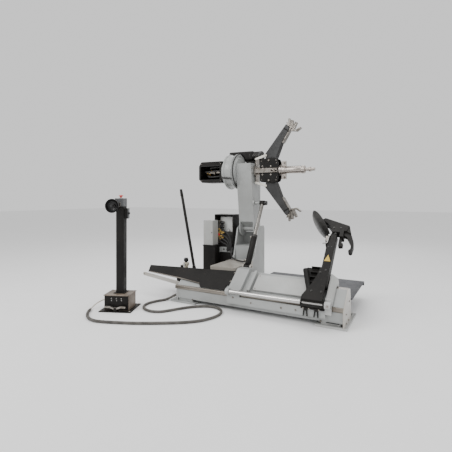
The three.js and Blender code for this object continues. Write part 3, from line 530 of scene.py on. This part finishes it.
for side, word in ((1, "upper"), (-1, "lower")):
    def at(points):
        return [(x, AXIS_Z + side * r) for x, r in points]

    def across(x, r, half, radius):
        return rod((x, AXIS_Y - half, AXIS_Z + side * r), (x, AXIS_Y + half, AXIS_Z + side * r), radius, 28,
            1.5)

    body = f"{word}_jaw"
    piece(f"jaw_band_{word}", [prism(at([(-2.5, 504), (6, 516.5), (69.5, 478.5), (62.5, 465)]), "y",
        AXIS_Y - 47.5, AXIS_Y + 47.5)],
          BLACK, body, 1.2)
    piece(f"jaw_side_plates_{word}", [
        prism(at([(-206, 146), (-216, 196), (-176, 262), (-128, 236), (-122, 160), (-150, 96), (-164, 122),
            (-176, 147)]), "y",
              *sorted((AXIS_Y + f * 43, AXIS_Y + f * 45.2))) for f in (-1, 1)], JAW, body,
                  0.6)
    piece(f"claw_rollers_{word}", [across(58, 546, 34, 9), across(98, 500, 30, 10), across(150, 472, 30, 8),
                                   across(70, 606, 30, 7.5), across(107, 590, 29, 6.5),
                                       across(156, 566, 29, 6.5),
                                   across(200, 498, 30, 6.5)], STEEL, body, 0)
    piece(f"claw_clamp_{word}", [
        prism(at([(40, 556), (64, 534), (84, 548), (70, 578), (50, 578)]), "y", AXIS_Y - 31, AXIS_Y + 31),
        prism(at([(84, 484), (100, 474), (140, 466), (150, 484), (112, 496), (96, 512)]), "y", AXIS_Y - 30,
            AXIS_Y + 30),
    ], CLAW, body, 1.5)
    piece(f"claw_fingers_{word}", [
        rod((x0, AXIS_Y + y, AXIS_Z + side * r0), (x1, AXIS_Y + y, AXIS_Z + side * r1), 8.5, 24,
            3) for y in (-21, 3, 24)
        for x0, r0, x1, r1 in ((88, 536, 97, 606), (112, 512, 152, 580), (150, 474, 208, 508),
            (62, 574, 63, 626))
    ], CLAW, body, 0)
    piece(f"jaw_edge_{word}", [
        prism(at([(-94, 160), (-26, 338), (66, 490), (68, 489), (-24, 337.2), (-92, 159.2)]), "y",
            AXIS_Y - 42, AXIS_Y + 42)
    ], BLACK, body, 0)
    # painted shadow: thin near-black discs on the side plates stand in for the shade inside the holes
    piece(f"jaw_hole_shadows_{word}", [
        rod((x, AXIS_Y + f * 44.6, AXIS_Z + side * r), (x, AXIS_Y + f * 45.6, AXIS_Z + side * r), 10, 28,
            0.2)
        for f in (-1, 1) for x, r in ((-92, 270), (-20, 410))], PAINTED_SHADOW, body, 0)
    bolts(f"claw_bolts_{word}", [(66, AXIS_Y - 31, AXIS_Z + side * 560),
        (118, AXIS_Y - 30, AXIS_Z + side * 484)],
          (0, -1, 0), 6.5, body, 5)
    bolts(f"jaw_arm_bolts_{word}", [(-10, AXIS_Y - 45, AXIS_Z + side * 420),
        (18, AXIS_Y - 45, AXIS_Z + side * 446)],
          (0, -1, 0), 4, body, 2.5, DARK, WORLD)

# ---------------------------------------------------------------- drive
def on_drum(x, r, dz):
    return (x, AXIS_Y - math.sqrt(r * r - dz * dz), AXIS_Z + dz)


strap = [on_drum(x, r + 4.5, dz) for x, r, dz in (
    (-786, 200, -78), (-766, 209, -82), (-762, 229, -84), (-750, 236, -86), (-738, 236, -88),
        (-722, 226, -90), (-700, 222, -92),
    (-670, 224, -95), (-650, 236, -98), (-630, 236, -101))]
piece("drum_strap", [sweep(smooth_line(strap, 6), 11, 16)], HOSE, "chuck_arm", 0)
# painted shadow: a black ring stands in for the shade between the drum and the arm
piece("drum_gap_painted_shadow", [lathe([(228, 0), (234, 0), (234, 11), (228, 11)], (-613, *CHUCK), X_WAY, 96)], BLACK,
    "chuck_arm",
      0)
piece("drum_seam", [lathe([(232.2, 0), (233.4, 0.6), (233.4, 3.4), (232.2, 4)], (-636, *CHUCK), X_WAY, 96)],
    DARK, "chuck_arm",
      0)
bolts("drum_bolts", [(-763.6, AXIS_Y + 216 * math.cos(rad(a)),
    AXIS_Z + 216 * math.sin(rad(a))) for a in range(15, 375, 30)],
      (-1, 0, 0), 6.5, "chuck_arm", 5)
bolts("drum_face_bolts", [(-785.2, AXIS_Y + 181 * math.cos(rad(a)),
    AXIS_Z + 181 * math.sin(rad(a))) for a in range(0, 360, 45)],
      (-1, 0, 0), 6.5, "chuck_arm", 4)
piece("distributor_core", [
    lathe([(0, 0), (24, 0), (27, 3), (27, 24), (36, 26), (36, 44), (33, 46), (33, 92), (37, 94), (37, 112),
        (44, 114), (44, 150),
           (60, 152), (60, 166), (30, 168), (30, 310), (0, 310)], (-1135, *CHUCK), X_WAY, 56),
], STEEL, "chuck_arm", 0)
piece("distributor_fittings", [bolt((x, y, z), way, 9, 14) for x, y, z, way in (
    (-1098, 812, 1497, (0, -1, 0.1)), (-1064, 815, 1470, (0, -1, -0.4)), (-1030, 816, 1520, (0, -1, 0.5)),
    (-1098, 830, 1464, (0, -0.5, -1)), (-1064, 850, 1533, (0, 0, 1)))] + [
    rod((-1098, 812, 1497), (-1098, 782, 1500), 6, 16), rod((-1064, 815, 1470), (-1064, 784, 1456), 6, 16),
    rod((-1030, 816, 1520), (-1030, 790, 1534), 6, 16), rod((-1010, 790, 1440), (-982, 782, 1424), 8, 16)],
      BRASS, "chuck_arm", 0.4)
for k, route in enumerate((
    [(-1098, 786, 1500), (-1096, 764, 1502), (-1060, 752, 1500), (-980, 752, 1506), (-900, 764, 1512),
        (-822, 790, 1510)],
    [(-1064, 788, 1458), (-1062, 768, 1446), (-1028, 754, 1434), (-960, 758, 1432), (-890, 772, 1440),
        (-822, 798, 1448)],
    [(-1030, 794, 1532), (-1026, 772, 1546), (-990, 762, 1556), (-930, 768, 1560), (-880, 786, 1562),
        (-822, 810, 1560)],
)):
    piece(f"distributor_hose_{k}", [sweep(smooth_line(route, 8), 10, 16)], HOSE, "chuck_arm",
        0)
piece("distributor_frame", [box((-1152.5, -1149.8), (714, 716.5), (1393, 1575)),
    box((-850.2, -847), (714, 716.5), (1393, 1575)),
                            box((-1152.5, -847), (714, 716.5), (1390, 1395)),
                                box((-1152.5, -847), (714, 716.5), (1573, 1578))],
      PLASTIC, "chuck_arm", 0.6)
bolts("cover_screws", [(x, 715, z) for x in (-1128, -838) for z in (1380, 1604)], (0, -1, 0), 4.5,
    "chuck_arm", 3)
piece("motor_bands", [box((x, x + 5), (1014.5, 1151), (1700, 1745)) for x in (-846, -700, -560)], DARK,
    "chuck_arm",
      1)
piece("motor_fins", [rod((x, 1083, 1715), (x + 5, 1083, 1715), 67, 56, 0.8) for x in range(-512, -420, 11)],
    DARK, "chuck_arm",
      0)
piece("motor_fan_cover", [lathe([(0, 0), (66, 0), (70, 3), (70, 28), (66, 34), (58, 39), (0, 39)],
    (-429.6, 1083, 1715), X_WAY, 56)],
      PLASTIC, "chuck_arm", 0)
piece("motor_top_trim", [box((-862, -523), (1034, 1132), (1784.6, 1786.2))], GREY, "chuck_arm",
    0.5)
bolts("motor_bracket_bolts", [(x, y, 1604) for x in (-570, -500, -424) for y in (914,)], (0, 0, 1), 9,
    "chuck_arm", 7)
bolts("arm_flange_bolts", [(-389.8, AXIS_Y + 140 * math.cos(rad(a)),
    AXIS_Z + 68 * math.sin(rad(a))) for a in (30, 150, 210, 330)
                           if abs(140 * math.cos(rad(a))) > 100], (1, 0, 0), 8, "chuck_arm", 6)
piece("arm_back_ribs", [prism([(934, 1585), (990, 1585), (990, 1100), (960, 1060)], "x", x,
    x + 0.9) for x in (-389.9, -600.9)],
      GREY, "chuck_arm", 0.4)
piece("motor_cable", [sweep(smooth_line([(-640, 1120, 1652), (-640, 1120, 1600), (-610, 1080, 1520),
    (-598, 1036, 1440),
                                         (-594, 1020, 1300), (-580, 1024, 1190), (-540, 1034, 1140),
                                             (-520, 1010, 1122)], 10), 8, 16)],
      HOSE, "chuck_arm", 0)

piece("motor_cable_gland", [rod((-640, 1120, 1650), (-640, 1120, 1636), 13, 6),
    rod((-520, 1004, 1120), (-520, 1018, 1126), 13, 6)],
      DARK, "chuck_arm", 0.8)
piece("arm_rear_cover", [box((-585, -405), (1004, 1007), (1190, 1470))], PALE, "chuck_arm",
    1.2)
bolts("arm_rear_screws", [(x, 1007, z) for x in (-570, -420) for z in (1206, 1330, 1454)], (0, 1, 0), 6,
    "chuck_arm", 4)

# ---------------------------------------------------------------- column, lift cylinder and its hoses
piece("column_rear_cover", [box((-612, -360), (999, 1002.5), (120, 470))], PALE, "frame", 1.2)
bolts("column_rear_screws", [(x, 1002.5, z) for x in (-596, -376) for z in (138, 295, 452)], (0, 1, 0), 6.5,
    "frame", 4)
bolts("column_anchor_bolts", [(x, 628, 370.2) for x in (-625, -560)], (0, 0, 1), 10, "frame", 8)
piece("column_weld_line", [sweep([(-639, 640, 372), (-333, 640, 372)], 3, 10)], CREAM, "frame",
    0)
piece("pivot_lock_plate", [box((-662, -652), (862, 918), (738, 762))], DARK, "frame", 1.5)
along = Vector((0, 446, 727)).normalized()
foot = Vector((-270, 340, 360))
piece("barrel_ports", [rod(foot + along * 78 + Vector((-30, 0, 0)), foot + along * 78 + Vector((-50, 0, 0)),
    11, 24),
                       rod(foot + along * 375 + Vector((-30, 0, 0)),
                           foot + along * 375 + Vector((-47, 0, 0)), 10, 24)],
      STEEL, "cylinder", 0)
piece("barrel_gland", [lathe([(34.4, 0), (36.4, 1), (36.4, 30), (34.4, 31)], foot + along * 371, along,
    56)], DARK, "cylinder",
      0)
port = foot + along * 78 + Vector((-52, 0, 0))
bend = [(-690, 728, 470), (-672, 700, 424), (-610, 620, 396), (-520, 560, 384), (-420, 500, 384),
    (-360, 448, 396)]
hose = piece("lift_hose", [sweep(smooth_line([*bend, tuple(port)], 8), 9.5, 16)], HOSE, None,
    0)
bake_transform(hose)
piece("hose_clip", [rod((-520, 560, 371), (-520, 560, 376), 10, 24),
    rod((-529, 566, 384), (-511, 554, 384), 11, 24)], STEEL, "frame",
      0)

# ---------------------------------------------------------------- hydraulic unit and electrics
piece("unit_bracket", [box((-842, -676), (741, 744.6), (438, 506)),
    box((-842, -838), (700, 744), (438, 506))], GREY, "frame",
      1)
# painted shadow: thin near-black discs stand in for the shade inside the bracket holes
piece("unit_bracket_hole_shadows", [rod((x, 741.2, 474), (x, 740.2, 474), 12, 32, 0.2) for x in (-800, -752,
    -704)], PAINTED_SHADOW, "frame",
      0)
piece("manifold_block", [box((-880, -700), (790, 825), (548, 700))], DARK, "frame", 2)
piece("valve_coils", [rod((-869, 790, z), (-823, 790, z), 19, 28, 2) for z in (720, 770, 820)], PLASTIC,
    "frame",
      0)
piece("valve_nuts", [bolt((-823, 790, z), (1, 0, 0), 9, 8) for z in (720, 770, 820)], CHROME, "frame",
    0.4)
piece("brass_fittings", [bolt(p, way, 9.5, 16) for p, way in (
    ((-884, 760, 694), (0.3, -1, 0)), ((-884, 760, 736), (0.3, -1, 0)), ((-884, 760, 640), (0.3, -1, 0)),
    ((-862, 758, 706), (0.2, -1, 0)), ((-862, 758, 612), (0.2, -1, 0)))] + [
    rod((-884, 746, 736), (-840, 742, 724), 6.5, 16), rod((-884, 746, 694), (-846, 740, 676), 6.5, 16),
    rod((-884, 746, 640), (-850, 740, 622), 6.5, 16), rod((-862, 744, 706), (-826, 740, 708), 5.5, 16)],
      BRASS, "frame", 0.5)
piece("brass_elbows", [bolt(p, (0.2, -1, 0), 11, 18) for p in ((-846, 752, 716), (-832, 750, 684),
    (-846, 752, 652),
                                                              (-828, 750, 622), (-812, 748, 700))], BRASS,
                                                                  "frame",
      0.5)
piece("relief_cap", [lathe([(0, 0), (11, 0), (12, 2), (12, 26), (10, 30), (0, 30)], (-876, 748, 652),
    (0.1, -0.25, 1), 28)], RED, "frame",
      0)
for k, route in enumerate((
    [(-842, 742, 725), (-800, 738, 716), (-752, 736, 690), (-712, 734, 640), (-692, 732, 570),
        (-688, 728, 500), (-690, 728, 470)],
    [(-848, 740, 677), (-806, 736, 658), (-756, 732, 630), (-718, 728, 590), (-704, 726, 540),
        (-704, 726, 480)],
    [(-852, 740, 623), (-812, 734, 608), (-766, 730, 588), (-734, 726, 560), (-722, 724, 520),
        (-720, 726, 460)],
    [(-870, 742, 590), (-826, 734, 566), (-790, 728, 552), (-752, 724, 540), (-738, 722, 500),
        (-738, 724, 452)],
)):
    piece(f"unit_hose_{k}", [sweep(smooth_line(route, 8), 10.5, 16)], HOSE, "frame", 0)
piece("gauge", [lathe([(0, 0), (17, 0), (19, 2), (19, 18), (17, 20), (0, 20)], (-770, 830, 720), (0, -1, 0),
    40)], CHROME,
      "frame", 0)
piece("gauge_face", [rod((-770, 810, 720), (-770, 809, 720), 15.5, 40, 0.2)], WHITE, "frame",
    0)
piece("tank_band", [box((-911.2, -689), (829, 831.2), (640, 646))], DARK, "frame", 0.5)
piece("tank_cap", [lathe([(0, 0), (27, 0), (28, 1), (28, 11), (25, 14), (0, 14)], (-800, 880, 903), UP,
    40)], PLASTIC, "frame",
      0)
piece("box_door", [box((-1028, -890), (599.2, 602.4), (540, 853))], PALE, "frame", 1.2)
piece("box_lock", [rod((-902, 599.4, 700), (-902, 595.8, 700), 8, 28)], DARK, "frame", 0)
piece("box_glands", [rod((x, 660, 536), (x, 660, 528), 9, 24) for x in (-1000, -960, -920)], PLASTIC,
    "frame", 0)
piece("cabinet_lip", [prism([(-1036.5, 598.5), (-848.5, 598.5), (-848.5, 743.5), (-846, 743.5), (-846, 596),
    (-1039, 596), (-1039, 952),
                             (-1036.5, 952)], "z", 521, 535.2)], BLACK, "frame", 0.6)
bolts("cabinet_screws", [(x, 600, z) for x in (-1018, -866) for z in (40, 490)], (0, -1, 0), 4.5, "frame",
    3, DARK)

# painted shadow: thin near-black strips stand in for the shade inside the vent slots
piece("cabinet_vent_shadows", [box((-1035.6, -1034.4), (700, 850), (z, z + 7)) for z in range(330, 460, 18)] + [
    box((-960, -780), (949.4, 950.6), (z, z + 7)) for z in range(330, 460, 18)], PAINTED_SHADOW, "frame",
        0)
piece("housing_rear_plate", [box((-930, -680), (949.5, 952), (560, 915))], BLACK, "frame", 1)
bolts("housing_rear_screws", [(x, 952, z) for x in (-918, -692) for z in (574, 900)], (0, 1, 0), 5, "frame",
    3, DARK)

# ---------------------------------------------------------------- air service unit
piece("air_gauge", [lathe([(0, 0), (15, 0), (16.5, 1.5), (16.5, 12), (15, 13), (0, 13)], (-1060, 214, 338),
    (0, -1, 0), 36)], CHROME,
      "frame", 0)
piece("air_gauge_face", [rod((-1060, 201.4, 338), (-1060, 200.6, 338), 13.4, 36, 0.2)], WHITE, "frame",
    0)
piece("air_line", [sweep(smooth_line([(-1084, 250, 340), (-1096, 262, 344), (-1110, 290, 330),
    (-1112, 330, 280), (-1080, 400, 180),
                                      (-1060, 480, 90), (-1045, 560, 60), (-1030, 610, 70)], 8), 4.5, 12)],
                                          HOSE, "frame",
      0)

# ---------------------------------------------------------------- bed, carriage and tool
pad_right, pad_left = (max(v.co.z for v in frame["nodes"][n].data.vertices) / MM
                       for n in ("foot_plate_right", "foot_plate_left"))
bolts("pad_bolts_right", [(690, -157, pad_right), (890, -157, pad_right)], (0, 0, 1), 9, "frame", 8)
bolts("pad_bolts_left", [(-940, -157, pad_left), (-690, -157, pad_left)], (0, 0, 1), 9, "frame", 8)
slot_shape = [(745 + 8 * math.cos(rad(a)), -157 + 8 * math.sin(rad(a))) for a in range(90, 271, 20)] + [
    (845 + 12 * math.cos(rad(a)), -157 + 12 * math.sin(rad(a))) for a in range(-110, 111, 20)]
# painted shadow: a thin near-black sheet stands in for the shade inside the foot plate slot
piece("pad_slot_shadow_right", [prism(slot_shape, "z", pad_right - 0.2, pad_right + 0.5)], PAINTED_SHADOW, "frame",
    0)
bolts("end_plate_bolts", [(900, y, z) for y, z in ((-90, 40), (-90, 120), (20, 40), (60, 200))], (1, 0, 0),
    7, "frame", 5)
piece("apron_screws", [rod((x, -190.6, 122), (x, -193.4, 122), 9.6, 30, 1) for x in (20, 330, 470)], STEEL,
    on("carriage_left_plate"),
      0)
# painted shadow: thin near-black discs stand in for the shade inside the screw sockets
piece("apron_socket_shadows", [rod((x, -193.2, 122), (x, -193.7, 122), 4.6, 6, 0.1) for x in (20, 330, 470)],
    PAINTED_SHADOW,
      on("carriage_left_plate"), 0)
bolts("cover_corner_screws", [(x, s, 37) for x in (26, 634) for s in (60, 224)], (0, 0, 1), 5,
    on("carriage_cover"), 3,
      STEEL, INCLINE)
# painted shadow: a near-black sheet under the cover edge stands in for the shade in the seam
piece("cover_seam_shadow", [box((4.2, 655.8), (42.2, 241.8), (14.6, 17))], PAINTED_SHADOW, on("carriage_cover"),
    0, INCLINE)
piece("slide_cover_upper", [prism([(-638, 47), (-602, 5), (-312, 5), (-307, 76), (-252, 76), (-252, 274),
    (-610, 259)], "z", 11.4, 12.8)],
      BLACK, on("slide_cover"), 0.5, INCLINE)
bolts("slide_cover_bolts", [(-283, s, 12.8) for s in (127, 246)], (0, 0, 1), 8, on("slide_cover"), 5, STEEL,
    INCLINE)
piece("slide_cover_scuff", [prism([(-1404, 121.5), (-906, 77.5), (-641, 45.5), (-603, 5), (-330, 5),
    (-330, 12), (-600, 12), (-632, 54),
                                   (-906, 90), (-1400, 130)], "z", 11.3, 11.9)], WORN, on("slide_cover"),
                                       0, INCLINE)
bolts("right_ear_bolts", [(765, -234, 207)], (0, -1, 0), 9, on("carriage_right_plate"), 5)
bolts("left_ear_bolts", [(-180, -188, 196), (-180, -188, 150)], (0, -1, 0), 8, on("carriage_left_plate"), 5)
bolts("saddle_bolts", [(548, -215, 161.5), (600, -215, 161.5), (690, -215, 161.5)], (0, -1, 0), 5,
    on("tool_saddle"), 3)

piece("triangle_plate", [prism([(690, 524), (662, 443), (722, 443)], "z", 52.9, 53.7)], YELLOW, "tool_arm",
    0.2, TOOL)
bolts("bracket_bolts", [(612, 90, 63), (700, 90, 63), (700, 330, 63), (655, 300, 63)], (0, 0, 1), 8,
    "tool_arm", 5, DARK, TOOL)
bolts("post_bolts", [(676, 620, 52.8), (706, 620, 52.8)], (0, 0, 1), 5, "tool_arm", 3, DARK, TOOL)
bolts("head_bolts", [(716, 800, 54.5), (690, 880, 54.5), (760, 880, 54.5)], (0, 0, 1), 8, on("tool_head"),
    5, DARK, TOOL)

# ---------------------------------------------------------------- control stand
BRONZE = surface("bronze_paint", (0.20, 0.16, 0.125), (0.085, 0.062, 0.045), 0.42, metal=0.1, bump=0.2,
    grain=300, patch=7)
piece("stand_foot", [box((-168, 168), (-153, 153), (0, 8)), box((-16, 16), (-146, -99), (7, 20)),
                     box((-12, 12), (-146, -141), (19, 42)), box((-12, 12), (-112, -99.5), (19, 42)),
                     rod((0, -146, 34), (0, -99, 34), 5)], BLACK, on("stand_base"), 1.2,
                         STAND,
      replaces=("stand_base",))
piece("stand_box", [box((-129.4, 129.4), (-99.4, 99.4), (7.5, 155.5))], BRONZE, on("stand_base"),
    2, STAND)
piece("stand_lid", [box((-136, 136), (-108, 108), (155, 162))], BRONZE, on("stand_base"), 2,
    STAND)
bolts("stand_lid_screws", [(x, y, 162) for x in (-122, 122) for y in (-94, 94)], (0, 0, 1), 4,
    on("stand_base"), 2.5, STEEL, STAND)
bolts("stand_anchor_bolts", [(x, y, 8) for x in (-152, 152) for y in (-136, 136)], (0, 0, 1), 8,
    on("stand_base"), 7, STEEL, STAND)
piece("stand_front", [box((-126, 126), (-100, -99), (12, 152))], BLACK, on("stand_base"),
    0.4, STAND)
piece("stand_buttons", [rod((x, -99.8, z), (x, -105, z), 6.5, 30, 1.2) for x in (-52, 0, 52) for z in (104,
    126)], CHROME,
      on("stand_base"), 0, STAND)
piece("stand_button_caps", [rod((x, -104.6, z), (x, -107, z), 4, 26, 0.8) for x in (-52, 0,
    52) for z in (104, 126)], PLASTIC,
      on("stand_base"), 0, STAND)
piece("cable_gland", [rod((-129.6, 0, 92), (-146, 0, 92), 12, 6, 1),
    rod((-145, 0, 92), (-152, 0, 92), 9, 24)], DARK,
      on("stand_base"), 0.6, STAND)
piece("post_flange", [box((-58, 64), (-40, 82), (162.2, 168))], BLACK, on("stand_post"), 1.5,
    STAND)
HEAD = surface("head_paint", (0.105, 0.108, 0.110), (0.055, 0.056, 0.058), 0.4, bump=0.2, patch=12)
piece("head_cap", [box((-45, -10.5), (-31, 65), (1145, 1147)), box((10.5, 45), (-31, 65), (1145, 1147)),
                   box((-10.5, 10.5), (-31, 7.5), (1145, 1147)),
                       box((-10.5, 10.5), (28.5, 65), (1145, 1147))], GREY, on("stand_post"),
                           0.6, STAND)
piece("guard_neck", [box((-14, 18), (-44, -32), (1064, 1100))], STEEL, on("joystick_guard"),
    2, STAND)
piece("stand_head_skin", [box((-46.8, 46.8), (-32.8, 66.8), (1062, 1145.4))], HEAD, on("stand_post"),
    3, STAND)
piece("switch_face", [box((79.6, 82), (-2, 44), (942, 1036))], HEAD, on("stand_post"), 0.8,
    STAND)
piece("switch_knob", [rod((82, 21, 990), (90, 21, 990), 12, 30, 1.5), box((90, 97), (18, 24), (980, 1000))],
    PLASTIC,
      on("stand_post"), 0.5, STAND)
piece("stop_collar", [lathe([(10.4, 0), (19, 0), (21, 1.5), (21, 5), (17, 9), (10.4, 9)], (0, 18, 1145.8),
    UP, 40)], CHROME,
      on("stand_post"), 0, STAND)
piece("stop_button_skin", [lathe([(0, 0), (9, 0), (9, 26), (14, 27.5), (15, 30), (15, 33), (20.5, 34),
    (22, 36), (22, 40), (20.5, 43),
                                  (15, 45.4), (8, 46), (0, 46)], (0, 18, 1135), UP, 48)], RED,
                                      on("e_stop_button"), 0,
      STAND, replaces=("e_stop_button",))
piece("guard_skin", [
    lathe([(0, 0), (26, 0), (40, 5), (50, 12), (59, 21), (66, 34), (70, 47), (72, 62), (71.4, 63.4),
        (70, 63.4), (68.6, 62), (66, 47),
           (62, 36), (55, 24.5), (47, 17), (36, 9.5), (24, 6), (0, 6)], (-41, -58, 1070), (0, -1, 0), 64),
    box((-51, -11), (-61, -32.8), (1062, 1084)),
], PLASTIC, on("joystick_guard"), 0, STAND, replaces=("joystick_guard",))
piece("stick_skin", [lathe([(0, 0), (6, 0), (6, 34), (10.5, 35), (13, 39), (15, 45), (15, 50), (13, 54.5),
    (9, 57.6), (0, 58)],
                           (-41, -81.5, 1070), (0, -1, 0), 40)], PLASTIC, on("joystick"),
                               0, STAND,
      replaces=("joystick",))

# ---------------------------------------------------------------- head lug, lock bracket and pry lever
piece("head_lug", [box((759.5, 800), (655, 700), (-5, 30))], BLACK, on("tool_head"), 3, TOOL)
piece("lock_bracket", [box((628, 651.5), (700, 765), (10, 52))], STEEL, "tool_arm", 2, TOOL)
lever_way = (-math.sin(rad(11.6)), 0, math.cos(rad(11.6)))
piece("lever_tube", [lathe([(12.2, 0), (16, 0), (17, 1.5), (17, 836), (16, 838), (12.2, 838), (12.2, 0)],
                           (-877 + lever_way[0] * 64, 165, 285 + lever_way[2] * 64), lever_way, 32)], BLACK,
                               "lever", 0)

# ---------------------------------------------------------------- floor and light
floor = bpy.data.objects.new("floor", bpy.data.meshes.new("floor"))
floor.data.from_pydata([(-30, -30, -0.0008), (30, -30, -0.0008), (30, 30, -0.0008), (-30, 30, -0.0008)], [],
    [(0, 1, 2, 3)])
bpy.context.scene.collection.objects.link(floor)
floor.data.materials.append(surface("studio_floor", (0.86, 0.86, 0.86), (0.85, 0.85, 0.85), 0.8, bump=0.02))


def lamp(name, at, target, size, power):
    light = bpy.data.lights.new(name, "AREA")
    light.shape = "RECTANGLE"
    light.size, light.size_y = size
    light.energy = power
    obj = bpy.data.objects.new(name, light)
    obj.location = at
    obj.rotation_euler = (Vector(target) - Vector(at)).to_track_quat("-Z", "Y").to_euler()
    bpy.context.scene.collection.objects.link(obj)


lamp("key", (-2.6, -3.6, 4.4), (-0.2, 0.3, 0.7), (3.2, 3.2), 170)
lamp("fill", (4.2, -2.6, 2.6), (0, 0.2, 0.8), (3.0, 3.0), 60)
lamp("top", (0.2, 1.0, 4.8), (-0.1, 0.4, 0.6), (4.0, 3.0), 90)
lamp("back", (-1.5, 5.0, 3.2), (0, 0.4, 0.9), (3.5, 2.5), 40)
world = bpy.data.worlds.new("studio")
world.use_nodes = True
world.node_tree.nodes["Background"].inputs[0].default_value = (1.0, 1.0, 1.0, 1)
world.node_tree.nodes["Background"].inputs[1].default_value = 0.95
bpy.context.scene.world = world
